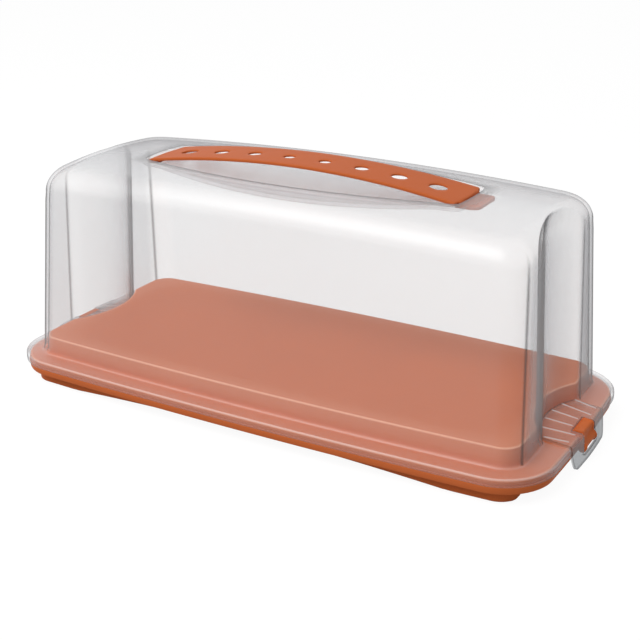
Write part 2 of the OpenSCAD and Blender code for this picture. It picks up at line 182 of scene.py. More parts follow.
def plain_quarter(a, b, corner):
    """Quarter outline without a hollow: half the end, a round corner, half the side."""
    t = np.linspace(0, 1, bay_n + shoulder_n + flat_n + 1)
    s = np.linspace(0, 1, side_n + 1)[1:]
    return np.vstack([
        np.c_[np.full(len(t), a), (b - corner) * t],
        arc(a - corner, b - corner, corner, 0, math.pi / 2, corner_n),
        np.c_[(a - corner) * (1 - s), np.full(side_n, b)],
    ])


def outline(quarter, a, b, side, end):
    """Whole outline: the quarter's end and side pushed out by parabolas of those
    heights, then mirrored in both axes."""
    x, y = quarter.T
    q = np.c_[x + end * (1 - (y / b) ** 2), y + side * (1 - (x / a) ** 2) * y / b]
    return np.vstack([q, q[-2::-1] * (-1, 1), q[1:] * (-1, -1), q[-2:0:-1] * (1, -1)])


def rim_ring(off):
    """Outline of the rim, grown by off."""
    a, b = rim_a + off, rim_b + off
    return outline(plain_quarter(a, b, rim_r + off), a, b, side_bow, end_bow)


def foot_ring(off):
    """Outline of the standing rib, grown by off."""
    a, b = foot_a + off, foot_b + off
    return outline(plain_quarter(a, b, foot_r + off), a, b, side_bow, end_bow)


def deck_ring(off):
    """Outline of the serving deck, grown by off."""
    a, b = deck_a + off, deck_b + off
    quarter = bay_quarter(a, b, deck_r + off, bay_d, bay_r - off, shoulder_r + off)
    return outline(quarter, a, b, side_bow, 0)


def oval_ring(a, b):
    """Plain outline inside the deck, from which rungs run across."""
    return outline(plain_quarter(a, b, oval_r), a, b, side_bow, oval_bow)


def at(ring, z):
    """The outline at a height, which is one number or one for each point."""
    return np.c_[ring, np.broadcast_to(z, len(ring))]


def wrapped(count, n):
    """Quads from each of count outlines of n points to the next, all the way round."""
    rows = np.arange(count - 1)[:, None] * n
    i = np.arange(n)[None]
    j = (i + 1) % n
    return np.stack([rows + i, rows + n + i, rows + n + j, rows + j], -1).reshape(-1, 4).tolist()


def skinned(rings):
    """Vertices and faces of the closed skin through outlines of equal count. The first
    and the last are closed by rungs from each point to its mirror image across."""
    count, n = len(rings), len(rings[0])
    k = np.arange(1, n // 2 - 1)
    rungs = np.stack([k, k + 1, n - k - 1, n - k], -1)
    last = (count - 1) * n
    tips = [(0, 1, n - 1), (n // 2 - 1, n // 2, n // 2 + 1)]
    faces = wrapped(count, n) + rungs.tolist() + (last + rungs[:, ::-1]).tolist()
    faces += tips + [tuple(last + v for v in tip[::-1]) for tip in tips]
    return np.vstack(rings), faces


def piece(name, vertices, faces, body, material, slot):
    """A smooth-shaded object from points in millimetres; edges that turn by more than
    the crisp angle stay sharp. It rides on a body and carries a material."""
    mesh = bpy.data.meshes.new(name)
    mesh.from_pydata(np.asarray(vertices) / 1000, [], faces)
    mesh.validate()
    mesh.shade_smooth()
    mesh.set_sharp_from_angle(angle=crisp)
    mesh.materials.append(material)
    made = bpy.data.objects.new(name, mesh)
    bpy.context.collection.objects.link(made)
    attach(made, body)
    return made


def mark(made, name, values):
    """Stores one number for each point of a piece, which its material reads."""
    made.data.attributes.new(name, "FLOAT", "POINT").data.foreach_set(
        "value", np.asarray(values, np.float32))


def satin_plastic(name, colour, gloss_low, gloss_high):
    """Moulded satin plastic: slow colour drift, a fine spark-eroded grain in the bump,
    and roughness that varies with both. The mark "edge" paints a pale highlight along edges."""
    made = bpy.data.materials.new(name)
    made.use_nodes = True
    tree = made.node_tree
    shader = tree.nodes["Principled BSDF"]
    place = add(tree, "ShaderNodeTexCoord").outputs["Object"]
    drift = add(tree, "ShaderNodeTexNoise", Vector=place, Scale=26.0, Detail=3.0).outputs[0]
    grain = add(tree, "ShaderNodeTexNoise", Vector=place, Scale=2200.0, Detail=2.0).outputs[0]
    tone = add(tree, "ShaderNodeMix", Factor=drift)
    tone.data_type = "RGBA"
    tone.inputs[6].default_value = (*[c * 0.94 for c in colour], 1)
    tone.inputs[7].default_value = (*[min(1, c * 1.05) for c in colour], 1)
    # Painted highlight: where the mark "edge" is set, the colour turns a pale orange, as if lit.
    edge_highlight = add(tree, "ShaderNodeAttribute")
    edge_highlight.attribute_name = "edge"
    lit = add(tree, "ShaderNodeMix", Factor=edge_highlight.outputs["Fac"])
    lit.data_type = "RGBA"
    tree.links.new(tone.outputs[2], lit.inputs[6])
    lit.inputs[7].default_value = (0.86, 0.4, 0.26, 1)
    tree.links.new(lit.outputs[2], shader.inputs["Base Color"])
    both = maths(tree, "MULTIPLY_ADD", grain, 0.5)
    tree.links.new(maths(tree, "MULTIPLY", drift, 0.5), both.node.inputs[2])
    rough = add(tree, "ShaderNodeMapRange", Value=both, To_Min=gloss_low, To_Max=gloss_high)
    tree.links.new(rough.outputs[0], shader.inputs["Roughness"])
    bump = add(tree, "ShaderNodeBump", Height=grain, Strength=0.12, Distance=0.00006)
    tree.links.new(bump.outputs[0], shader.inputs["Normal"])
    shader.inputs["Specular IOR Level"].default_value = 0.04
    return made


def arch(t, length, height, order):
    """Height of an arch: its rise times one less the order-th power of the distance."""
    return height * np.maximum(0, 1 - np.abs(2 * t / length) ** order)


def on_feet(ring):
    """The rib's lower edge, which arches along the sides and across the ends."""
    x, y = ring.T
    return at(ring, np.where(
        np.abs(x) > arch_l / 2,
        arch(y, end_arch_l, end_arch_h, 6),
        arch(x, arch_l, arch_h, 2),
    ))


under = rim_z - tray_t
tray_rings = [
    at(oval_ring(deck_a - 18, deck_b - 12), deck_z),
    at(deck_ring(-1.2), deck_z),
    at(deck_ring(-0.6), deck_z - 0.1),
    at(deck_ring(-0.2), deck_z - 0.4),
    at(deck_ring(0), deck_z - 1),
    at(deck_ring(0.6), rim_z + 2),
    at(deck_ring(0.85), rim_z + 1),
    at(deck_ring(1.4), rim_z + 0.35),
    at(deck_ring(2.6), rim_z),
    at(rim_ring(-1.4), rim_z),
    at(rim_ring(-0.6), rim_z - 0.15),
    at(rim_ring(-0.15), rim_z - 0.6),
    at(rim_ring(0), rim_z - 1.4),
    at(rim_ring(0), skirt_top - 0.4),
    at(rim_ring(ledge - 0.4), skirt_top - 0.4),
    at(rim_ring(ledge - 0.1), skirt_top - 0.55),
    at(rim_ring(ledge), skirt_top - 0.9),
    at(rim_ring(ledge - 0.45), skirt_z + 0.5),
    at(rim_ring(ledge - 0.6), skirt_z + 0.15),
    at(rim_ring(ledge - 0.9), skirt_z),
    at(rim_ring(ledge - tray_t), skirt_z),
    at(rim_ring(-tray_t), skirt_top - 2),
    at(rim_ring(-tray_t), under),
    at(foot_ring(0.4), under),
    on_feet(foot_ring(0)) + (0, 0, 0.35),
    on_feet(foot_ring(-0.35)),
    on_feet(foot_ring(-1.55)),
    on_feet(foot_ring(-1.9)) + (0, 0, 0.35),
    at(foot_ring(-2.3), under),
    at(deck_ring(1.8 - tray_t), under),
    at(deck_ring(0.6 - tray_t), under + 1.2),
    at(deck_ring(-tray_t), deck_z - tray_t),
    at(oval_ring(deck_a - 20, deck_b - 14), deck_z - tray_t),
]
# Painted light: the tray is the strap's plastic, but its colour is set about a tenth lighter to
# make up for light that the hood and the strap keep off the deck.
terracotta = satin_plastic("satin terracotta", (0.61, 0.148, 0.044), 0.4, 0.56)
tray = piece("tray_moulding", *skinned(tray_rings), "tray", terracotta, "tray_plastic")
# Painted highlight along the deck's top edge and the rim's outer edge, where light would catch
# their roundings.
deck_edge_rings, rim_edge_rings = [1, 2, 3, 4], [10, 11]
highlight_rings = np.zeros(len(tray_rings))
highlight_rings[deck_edge_rings] = 0.25, 1, 1, 0.25
highlight_rings[rim_edge_rings] = 0.4
mark(tray, "edge", np.repeat(highlight_rings, len(tray_rings[0])))
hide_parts("tray")

# ------------------------------------------------------------------- catches on the rim
# A hooked bulge at each end of the rim, moulded with the tray: the clip's window drops
# over its raised pad and the bar below the window springs under the hook.

clip_x, clip_edge_z, nose_w, nose_ease = 178.6, 17.8, 17.0, 0.7


def through(points, count):
    """Smooth closed curve through points: each stretch is a cubic that leaves and
    arrives along the line between the neighbours on either side."""
    p = np.asarray(points, float)
    t = np.linspace(0, 1, count, endpoint=False)[None, :, None]
    a, b, c, d = (np.roll(p, k, 0)[:, None] for k in (1, 0, -1, -2))
    curve = b + 0.5 * t * (c - a + t * (2 * a - 5 * b + 4 * c - d + t * (3 * (b - c) + d - a)))
    return curve.reshape(-1, 2)


def extruded(profile, half_width, ease):
    """A closed profile in X and Z carried across Y; near each end it shrinks by ease
    towards its inside, along the profile's normals, as the edge turns a quarter."""
    ahead, behind = np.roll(profile, -1, 0), np.roll(profile, 1, 0)
    along = ahead - behind
    along /= np.linalg.norm(along, axis=1)[:, None]
    inward = np.c_[-along[:, 1], along[:, 0]]
    turns = np.linspace(0, math.pi / 2, 4)
    near = [(half_width - ease + ease * math.sin(a), ease * (1 - math.cos(a))) for a in turns]
    rings = [(-y, d) for y, d in near[::-1]] + near
    n = len(profile)
    vertices = np.vstack([
        np.c_[profile[:, 0] + d * inward[:, 0], np.full(n, y), profile[:, 1] + d * inward[:, 1]]
        for y, d in rings
    ])
    top = (len(rings) - 1) * n
    caps = [list(range(n)), list(range(top + n - 1, top - 1, -1))]
    return vertices, wrapped(len(rings), n) + caps


catch_profile = through([
    (-8, -4.4), (-7.3, -2.6), (-6.8, -0.6), (-5.8, 0), (-3.6, -0.1), (-2, -0.3), (-1.2, -1.1),
    (-1, -2.4), (-1.1, -4), (-0.7, -5.2), (0.3, -6.4), (1, -7.3), (1.2, -8.2), (0.9, -9.4),
    (0.1, -10.7), (-1.4, -11.4), (-3, -10), (-4.4, -8), (-4.6, -5.6),
], 4) + (clip_x, clip_edge_z)
for side, name in ((1, "catch_right"), (-1, "catch_left")):
    vertices, faces = extruded(catch_profile * (side, 1), nose_w / 2, nose_ease)
    outward = faces if side < 0 else [f[::-1] for f in faces]
    piece(name, vertices, outward, "tray", terracotta, "tray_plastic")

# ------------------------------------------------------------------------------- hood
# One clear moulding, 1.8 mm thick: drafted walls with a hollow in each end that runs out
# over the roll to the roof, a crowned roof with a boat-shaped finger well, and a flange
# with a short skirt that drops over the tray's rim. Notches leave room for the clips.

hood_z, hood_t, wall_off = 141.2, 1.8, 3.2
side_draft, end_draft, flange_z = 0.076, 0.055, 17.0
roof_r, roof_drop, roof_crown = 13.5, 2.0, 2.9
skirt_gap = 0.5
rim_seat_z, flange_under_z, wall_foot_z = 15.7, 16.0, 17.8
well_a, well_b, well_bow, well_corner, well_end_bow = 103.0, 19.5, 16.0, 3, 1.5
well_end_d, well_d, well_deep_l = 2.7, 6.6, 180.0
bay_x, notch_r, clip_half = 205.4, 52.6, 27.4
strap_e, tongue_w, tongue_z = 100.5, 27.0, 136.36


def wall_ring(z, off, fade=0.0):
    """Hood wall at a height: the deck's outline grown by the wall's distance, drawn in
    by the draft; fade flattens the hollow of the end."""
    a = deck_a + wall_off - end_draft * (z - flange_z) - off
    b = deck_b + wall_off - side_draft * (z - flange_z) - off
    shoulder = shoulder_r + wall_off - min(off, hood_t)
    depth = max(0.6, bay_d * (1 - fade))
    corner, radius = deck_r + wall_off - off / 2, bay_r - wall_off + off
    quarter = bay_quarter(a, b, corner, depth, radius, shoulder)
    return outline(quarter, a, b, side_bow, 0)


def well_ring(off, dip=0.0):
    """Outline of the finger well, grown by off; its sides close in by dip."""
    a, b = well_a + off - 0.2 * dip, well_b + off - 0.15 * dip
    return outline(plain_quarter(a, b, well_corner), a, b, well_bow - 0.85 * dip, well_end_bow)


def roof(x, y):
    """Height of the roof, which falls off with the squares of both distances."""
    return hood_z - roof_drop * (x / 100) ** 2 - roof_crown * (y / 50) ** 2


def on_roof(ring, down):
    """An outline laid on the roof, lowered by down."""
    return at(ring, roof(*ring.T) - down)


def in_well(dip, down):
    """Ring inside the well: the height passes from roof to floor by an S-curve."""
    x, y = (ring := well_ring(down, dip)).T
    t = min(1, (dip + 0.6) / 5.7)
    share = t * t * (3 - 2 * t)
    depth = well_end_d + well_d * np.maximum(0, 1 - (2 * x / well_deep_l) ** 2)
    return at(ring, roof(x, y) * (1 - share) + (roof(x, 0) - depth) * share - down)


def roll_ring(angle, t):
    """Ring of the quarter turn from wall to roof, t inside the outer face."""
    inward = t + (roof_r - t) * (1 - math.cos(angle))
    down = t + (roof_r - t) * (1 - math.sin(angle))
    fade = min(1, 1.5 * (1 - math.cos(angle)))
    return on_roof(wall_ring(hood_z - roof_r - 5, inward, fade), down)


def between(first, last, down):
    """Three rings spread evenly between two outlines, laid on the roof."""
    way = (last - first)[:, :2]
    return [on_roof(first[:, :2] + way * s, down) for s in (0.25, 0.5, 0.75)]


turns = np.linspace(0, math.pi / 2, 15)
dips = (6.5, 5.7, 5.1, 4.4, 3.7, 3.0, 2.3, 1.6, 0.9, 0.2, -0.3)
wall_z = np.linspace(19, 115, 9)
outer_roll = [roll_ring(a, 0) for a in turns[::-1]]
inner_roll = [roll_ring(a, hood_t) for a in turns]
outer_lip = on_roof(well_ring(0.6), 0)
inner_lip = on_roof(well_ring(hood_t + 0.6), hood_t)
hood_rings = [
    *[in_well(d, 0) for d in dips],
    outer_lip,
    *between(outer_lip, outer_roll[0], 0),
    *outer_roll,
    *[at(wall_ring(z, 0), z) for z in wall_z[::-1]],
    at(wall_ring(flange_z + 1, -0.3), flange_z + 1),
    at(wall_ring(flange_z + 0.4, -0.8), flange_z + 0.4),
    at(wall_ring(flange_z, -2), flange_z),
    at(rim_ring(skirt_gap + hood_t - 1.4), flange_z),
    at(rim_ring(skirt_gap + hood_t - 0.6), flange_z - 0.15),
    at(rim_ring(skirt_gap + hood_t - 0.15), flange_z - 0.6),
    at(rim_ring(skirt_gap + hood_t), flange_z - 1.4),
    at(rim_ring(skirt_gap + hood_t), skirt_top + 0.2),
    at(rim_ring(skirt_gap + hood_t - 0.2), skirt_top),
    at(rim_ring(skirt_gap + 0.2), skirt_top),
    at(rim_ring(skirt_gap), skirt_top + 0.2),
    at(rim_ring(skirt_gap), rim_seat_z),
    at(rim_ring(skirt_gap - 0.8), flange_under_z),
    at(wall_ring(flange_z, 0.4), flange_under_z),
    at(wall_ring(flange_z, hood_t), wall_foot_z),
    *[at(wall_ring(z, hood_t), z) for z in wall_z],
    *inner_roll,
    *between(inner_roll[-1], inner_lip, hood_t),
    inner_lip,
    *[in_well(d, hood_t) for d in dips[::-1]],
]


def block(plan, low, high, axis):
    """A closed block: an outline carried along one axis from low to high."""
    n = len(plan)
    order = {1: [0, 2, 1], 2: [0, 1, 2]}[axis]
    vertices = np.vstack([np.c_[plan, np.full(n, low)], np.c_[plan, np.full(n, high)]])[:, order]
    faces = [[i, (i + 1) % n, n + (i + 1) % n, n + i] for i in range(n)]
    return vertices, faces + [list(range(n - 1, -1, -1)), list(range(n, 2 * n))]


def turn_outwards(mesh, weld=0.0):
    """Turns the faces of a closed mesh outwards, once points nearer than weld are one."""
    work = bmesh.new()
    work.from_mesh(mesh)
    if weld:
        bmesh.ops.remove_doubles(work, verts=work.verts, dist=weld)
    bmesh.ops.recalc_face_normals(work, faces=work.faces)
    work.to_mesh(mesh)
    work.free()


def cut(target, shapes):
    """Takes closed shapes out of a piece with an exact boolean and keeps its smooth
    shading, with crisp edges along the cuts."""
    vertices, faces, start = [], [], 0
    for v, f in shapes:
        vertices.append(v)
        faces += [[i + start for i in face] for face in f]
        start += len(v)
    mesh = bpy.data.meshes.new("cutter")
    mesh.from_pydata(np.vstack(vertices) / 1000, [], faces)
    cutter = bpy.data.objects.new("cutter", mesh)
    bpy.context.collection.objects.link(cutter)
    turn_outwards(mesh)
    step = target.modifiers.new("cut", "BOOLEAN")
    step.operation, step.solver, step.object = "DIFFERENCE", "EXACT", cutter
    bpy.context.view_layer.update()
    worked_out = target.evaluated_get(bpy.context.evaluated_depsgraph_get())
    result = bpy.data.meshes.new_from_object(worked_out)
    target.modifiers.clear()
    target.data = result
    result.set_sharp_from_angle(angle=crisp)
    bpy.data.objects.remove(cutter)


def clear_plastic(name, see_through, depth_tint, gloss, haze):
    """Clear moulded plastic: what one face lets through head on, times the tint raised to
    the extra way that a slanting sight line runs through the wall; a haze that grows with
    that way; and a gloss that grows with the fifth power of the slant. Of the piece's
    marks, "depth" is the wall's share of full depth, "extra" adds depth that the wall
    doesn't have, as painted shade, and "line" paints a dark line below nought and a
    highlight line of lit haze above."""
    made = bpy.data.materials.new(name)
    made.use_nodes = True
    tree = made.node_tree
    tree.nodes.clear()
    place = add(tree, "ShaderNodeTexCoord").outputs["Object"]
    flow = add(tree, "ShaderNodeTexNoise", Vector=place, Scale=9.0, Detail=2.0).outputs[0]
    ripple = add(tree, "ShaderNodeTexNoise", Vector=place, Scale=40.0, Detail=1.0).outputs[0]
    bump = add(tree, "ShaderNodeBump", Height=ripple, Strength=0.1, Distance=0.0004).outputs[0]
    slant = add(tree, "ShaderNodeLayerWeight", Blend=0.5).outputs["Facing"]
    marks = []
    for mark_name in ("depth", "extra", "line"):
        read = add(tree, "ShaderNodeAttribute")
        read.attribute_name = mark_name
        marks.append(read.outputs["Fac"])
    depth, extra, line = marks
    thick = maths(tree, "ADD", depth, extra)
    upright = maths(tree, "MAXIMUM", maths(tree, "SUBTRACT", 1.0, slant), 0.12)
    longer = maths(tree, "SUBTRACT", maths(tree, "DIVIDE", thick, upright), 1.0)
    longer = maths(tree, "MINIMUM", maths(tree, "MAXIMUM", longer, 0.0), 4.5)
    aslant = maths(tree, "SUBTRACT", maths(tree, "DIVIDE", depth, upright), 1.0)
    # Painted shade: walls, though not faces that lie flat, are darkened further where they are
    # seen nearly edge on.
    on_wall = add(tree, "ShaderNodeMapRange", Value=depth, From_Min=0.65, From_Max=1.0)
    turned_away = add(
        tree, "ShaderNodeMapRange", Value=slant, From_Min=0.66, From_Max=0.9, To_Max=0.8)
    turned_away.interpolation_type = "SMOOTHSTEP"
    dark = maths(tree, "MULTIPLY", turned_away.outputs[0], on_wall.outputs[0])
    # Painted lines from the mark "line": below nought painted shade along edges and corners, above
    # nought a painted highlight.
    below = maths(tree, "MAXIMUM", maths(tree, "MULTIPLY", line, -1.0), 0.0)
    painted_dark_line = maths(tree, "MULTIPLY", below, 0.7)
    painted_highlight_line = maths(tree, "MULTIPLY", maths(tree, "MAXIMUM", line, 0.0), 0.4)
    shaded = maths(tree, "MAXIMUM", dark, painted_dark_line)
    clearness = maths(tree, "MULTIPLY", maths(tree, "SUBTRACT", 1.0, shaded), see_through)
    tint = add(tree, "ShaderNodeCombineColor", **{
        c: maths(tree, "MULTIPLY", maths(tree, "POWER", depth_tint[k], longer), clearness)
        for k, c in enumerate(("Red", "Green", "Blue"))
    })
    film = add(tree, "ShaderNodeBsdfTransparent", Color=tint.outputs[0])
    milk = add(tree, "ShaderNodeBsdfDiffuse", Color=(0.93, 0.94, 0.96, 1))
    share = maths(tree, "MULTIPLY_ADD", maths(tree, "MAXIMUM", aslant, 0.0), haze)
    share.node.inputs[2].default_value = haze
    share = maths(tree, "MAXIMUM", maths(tree, "MINIMUM", share, 0.1), painted_highlight_line)
    body = add(tree, "ShaderNodeMixShader", _0=share, _1=film.outputs[0], _2=milk.outputs[0])
    mirror = maths(tree, "MULTIPLY_ADD", maths(tree, "POWER", slant, 5.0), 0.6)
    mirror.node.inputs[2].default_value = 0.03
    mirror = maths(tree, "MINIMUM", mirror, 0.12)
    rough = add(tree, "ShaderNodeMapRange", Value=flow, To_Min=gloss * 0.8, To_Max=gloss * 1.2)
    shine = add(
        tree, "ShaderNodeBsdfGlossy",
        Color=(1, 1, 1, 1), Roughness=rough.outputs[0], Normal=bump)
    seen = add(tree, "ShaderNodeMixShader", _0=mirror, _1=body.outputs[0], _2=shine.outputs[0])
    path = add(tree, "ShaderNodeLightPath")
    lights = maths(tree, "MAXIMUM", path.outputs["Is Shadow Ray"], path.outputs["Is Diffuse Ray"])
    lets_through = add(tree, "ShaderNodeBsdfTransparent", Color=(0.99, 0.99, 0.99, 1))
    mixed = add(
        tree, "ShaderNodeMixShader", _0=lights, _1=seen.outputs[0], _2=lets_through.outputs[0])
    add(tree, "ShaderNodeOutputMaterial", Surface=mixed.outputs[0])
    return made


clear = clear_plastic("clear hood plastic", 0.988, (0.925, 0.926, 0.93), 0.42, 0.042)
hood = piece("hood_moulding", *skinned(hood_rings), "hood", clear, "clear_plastic")


def smooth_step(value, low, high):
    """0 below low, 1 above high and an S-curve between."""
    t = np.clip((value - low) / (high - low), 0, 1)
    return t * t * (3 - 2 * t)


normals = np.empty(len(hood.data.vertices) * 3)
hood.data.vertices.foreach_get("normal", normals)
normals = normals.reshape(-1, 3)
facing_end = np.abs(normals[:, 0]) / np.hypot(*normals[:, :2].T).clip(1e-6)
lying = smooth_step(np.abs(normals[:, 2]), 0.1, 0.5)
outer_rings, wall_rings = 46, slice(22, 40)
outer_skin = np.repeat(np.arange(len(hood_rings)) < outer_rings, len(hood_rings[0]))
low = 1 - smooth_step(np.concatenate(hood_rings)[:, 2], 110, 128)
mark(hood, "depth", 1 - 0.3 * lying)
# Painted shade: the outer faces of the end walls below the roll get extra depth, which darkens
# them though they are no thicker than the rest.
end_wall_shade = smooth_step(facing_end, 0.8, 0.94) * (1 - lying) * outer_skin * low
mark(hood, "extra", 0.8 * end_wall_shade)
# Painted shade: dark lines down the hood's corners and the shoulders of its end hollows, standing
# in for the dark edges of clear plastic.
shoulder_column, corner_column = 14, 24
column = np.arange(len(hood_rings[0]) // 4 + 1)
column = np.concatenate([column, column[-2::-1], column[1:], column[-2:0:-1]])
painted_upright_line = np.where(np.isin(column, (shoulder_column, corner_column)), -1.0, 0.0)
painted_upright_line[np.abs(column - shoulder_column) == 1] = -0.4
lines = np.zeros((len(hood_rings), len(column)))
lines[wall_rings] = painted_upright_line
lines *= low.reshape(lines.shape) ** 0.5
# Painted lines along rings: dark at the well's foot and lip and at the skirt's foot, painted
# highlight along the wall's foot and the flange's edge.
for ring, amount in (
    (1, -0.7), (2, -0.7), (9, -0.7), (10, -1.0), (11, -0.7),  # the well's foot and lip
    (40, 0.4), (43, 0.5), (44, 0.6), (46, -0.4), (47, -0.4),  # the flange and its skirt
):
    lines[ring] = amount
mark(hood, "line", lines.ravel())
y = np.linspace(-clip_half, clip_half, 41)
notch = np.vstack([
    np.c_[bay_x - np.sqrt(notch_r**2 - y**2), y], [(192, clip_half), (192, -clip_half)],
])
slot_plan = np.array([
    (strap_e - 1.9, tongue_z - 6), (strap_e - 1.9, tongue_z + 2.4), (well_a - 0.4, tongue_z + 2.4),
    (well_a + 0.2, tongue_z + 0.9), (well_a + 7, tongue_z + 0.3), (well_a + 7, tongue_z - 6),
])
slot_half = tongue_w / 2 + 0.3
cut(hood, [
    *[block(notch * (side, 1), 5, 21, 2) for side in (1, -1)],
    *[block(slot_plan * (side, 1), -slot_half, slot_half, 1) for side in (1, -1)],
])
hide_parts("hood")

# ------------------------------------------------------------------------------- strap
# A separate terracotta moulding: a shallow arch with eight graded round holes, thinned
# underneath between two rails. A tongue snaps under the roof at the right end and a
# short hook holds the left end.

strap_l, strap_w, strap_flare, strap_t, strap_rise = 201.0, 33.0, 1.5, 1.8, 8.2
hole_n, hole_end_d, hole_mid_d, strap_bulge = 8, 10.4, 7.2, 1.5
strap_r = (strap_rise**2 + strap_e**2) / (2 * strap_rise)
strap_z = roof(strap_e, 0) - well_end_d + 0.15 + strap_t + strap_rise
pitch = (strap_l - 11) / hole_n
recess_half, recess_d, recess_l = strap_w / 2 - 3, 0.6, 88.3
edge, hole_ease, end_ease = 0.5, 0.4, 1.2
tongue_l, hook_l, tongue_t = 12.0, 5.5, 1.8


def strap_top(x):
    """Height of the strap's upper face, a circle's arc."""
    return strap_z - strap_r + np.sqrt(strap_r**2 - x**2)


def recess(x):
    """Depth of the recess underneath, which runs out over a millimetre at its ends."""
    return recess_d * np.clip(recess_l - np.abs(x) + 0.5, 0, 1)


def rail(x, inset=0.0):
    """Half of a cross-section, from the top face's edge round to the recess: a list of
    distances from the middle and depths below the top for each station."""
    w = strap_w / 2 + strap_flare * (x / strap_e) ** 2 - inset
    a = np.linspace(0, math.pi / 2, 5)[None]
    w, d = w[:, None], recess(x)[:, None]
    top = np.stack(np.broadcast_arrays(
        w - edge + edge * np.sin(a), inset / 2 + edge * (1 - np.cos(a))), -1)
    low = np.stack(np.broadcast_arrays(
        w - edge + edge * np.cos(a), strap_t - inset / 2 - edge + edge * np.sin(a)), -1)
    step = np.stack([
        np.stack(np.broadcast_arrays(v, u), -1)[:, 0]
        for v, u in (
            (recess_half + 0.6 + 0 * d, strap_t - inset / 2 + 0 * d),
            (recess_half + 0.3 + 0 * d, strap_t - inset / 2 - 0.1 * d),
            (recess_half + 0 * d, strap_t - inset / 2 - d),
        )
    ], 1)
    return np.concatenate([top, low, step], 1)


class Quilt:
    """Gathers patches of a surface; shared borders are welded when the piece is made."""

    def __init__(self):
        self.vertices, self.faces, self.count = [], [], 0

    def patch(self, grid, closed=False):
        """A grid of points joined by quads, closed on itself along its second way."""
        rows, columns = grid.shape[:2]
        i = np.arange(rows - 1)[:, None] * columns
        j = np.arange(columns if closed else columns - 1)[None]
        k = (j + 1) % columns
        quads = np.stack([i + j, i + k, i + columns + k, i + columns + j], -1).reshape(-1, 4)
        self.faces += (quads + self.count).tolist()
        self.vertices.append(grid.reshape(-1, 3))
        self.count += rows * columns

    def welded(self, name, body, material, slot):
        """The piece, with doubled points merged and faces turned outwards."""
        made = piece(name, np.vstack(self.vertices), self.faces, body, material, slot)
        turn_outwards(made.data, 2e-6)
        made.data.set_sharp_from_angle(angle=crisp)
        return made


across = 12
strap_quilt = Quilt()
for i in range(hole_n):
    off = i - (hole_n - 1) / 2
    middle = off * pitch
    radius = (hole_mid_d + (hole_end_d - hole_mid_d) * (abs(off) - 0.5) / (hole_n / 2 - 1)) / 2
    u = np.linspace(-1, 1, across + 1)
    border = np.vstack([np.c_[u[:-1], -np.ones(across)], np.c_[np.ones(across), u[:-1]],
                        np.c_[-u[:-1], np.ones(across)], np.c_[-np.ones(across), -u[:-1]]])
    x = middle + border[:, 0] * pitch / 2
    half_top = strap_w / 2 + strap_flare * (x / strap_e) ** 2 - edge
    rings = []
    for half, below in ((half_top, False), (recess_half, True)):
        rim = np.c_[x, border[:, 1] * half]
        way = rim - (middle, 0)
        way /= np.linalg.norm(way, axis=1)[:, None]
        lip = (middle, 0) + way * radius
        turn = np.linspace(0, math.pi / 2, 4)
        eased = [
            (lip + way * hole_ease * (1 - math.sin(a)), hole_ease * (1 - math.cos(a)))
            for a in turn
        ]
        spread = [(rim + (eased[0][0] - rim) * s, 0.0) for s in (0, 0.35, 0.7)]
        part = []
        for plan, down in spread + eased:
            own_depth = strap_t - recess(plan[:, 0]) - down if below else down
            part.append(np.c_[plan, strap_top(plan[:, 0]) - own_depth])
        rings += part[::-1] if below else part
    strap_quilt.patch(np.array(rings), closed=True)
    stations = middle + u * pitch / 2
    for side in (1, -1):
        curve = rail(stations)
        height = strap_top(stations)[:, None] - curve[..., 1]
        grid = np.stack(np.broadcast_arrays(stations[:, None], side * curve[..., 0], height), -1)
        strap_quilt.patch(grid)
ease = np.linspace(0, math.pi / 2, 5)
inner_x = strap_l / 2 - 5.5
stations = np.concatenate([
    np.linspace(inner_x, strap_e - end_ease, 5), strap_e - end_ease + end_ease * np.sin(ease[1:]),
])
insets = np.concatenate([np.zeros(5), end_ease * (1 - np.cos(ease[1:]))])
for end in (1, -1):
    loops = []
    for x, inset in zip(stations, insets):
        half = rail(np.array([x]), inset)[0]
        t = np.linspace(-1, 1, across + 1)[1:-1]
        top = np.c_[half[0, 0] * t, np.full(across - 1, half[0, 1])]
        low = np.c_[half[-1, 0] * -t, np.full(across - 1, half[-1, 1])]
        loop = np.vstack([top, half, low, half[::-1] * (-1, 1)])
        grown = (x - inner_x) / (strap_e - inner_x) * strap_bulge
        out = x + grown * (1 - (loop[:, 0] / half[:, 0].max()) ** 2)
        loops.append(np.c_[end * out, loop[:, 0], strap_top(x) - loop[:, 1]])
    centre = loops[-1].mean(0)
    loops += [centre + (loops[-1] - centre) * s for s in (0.5, 0.0)]
    strap_quilt.patch(np.array(loops), closed=True)


def slab(quilt, x, top, low, half, end, ease=0.45):
    """A flat bar along X: at each station a rectangle with corners rounded by ease, of
    its own height and half-width, closed at both ends."""
    a = np.linspace(0, math.pi / 2, 5)
    quarter = np.c_[np.sin(a) - 1, np.cos(a) - 1] * ease
    loops = []
    for xs, t, b, w in zip(x, top, low, half):
        h = (t - b) / 2
        one = quarter * min(1, h / ease) + (w, h)
        loop = np.vstack([one, one[::-1] * (1, -1), one * (-1, -1), one[::-1] * (-1, 1)])
        loops.append(np.c_[np.full(len(loop), end * xs), loop[:, 0], (t + b) / 2 + loop[:, 1]])
    for k in (0, -1):
        centre = loops[k].mean(0)
        caps = [centre + (loops[k] - centre) * s for s in (0.5, 0.0)]
        loops = caps[::-1] + loops if k == 0 else loops + caps
    quilt.patch(np.array(loops), closed=True)


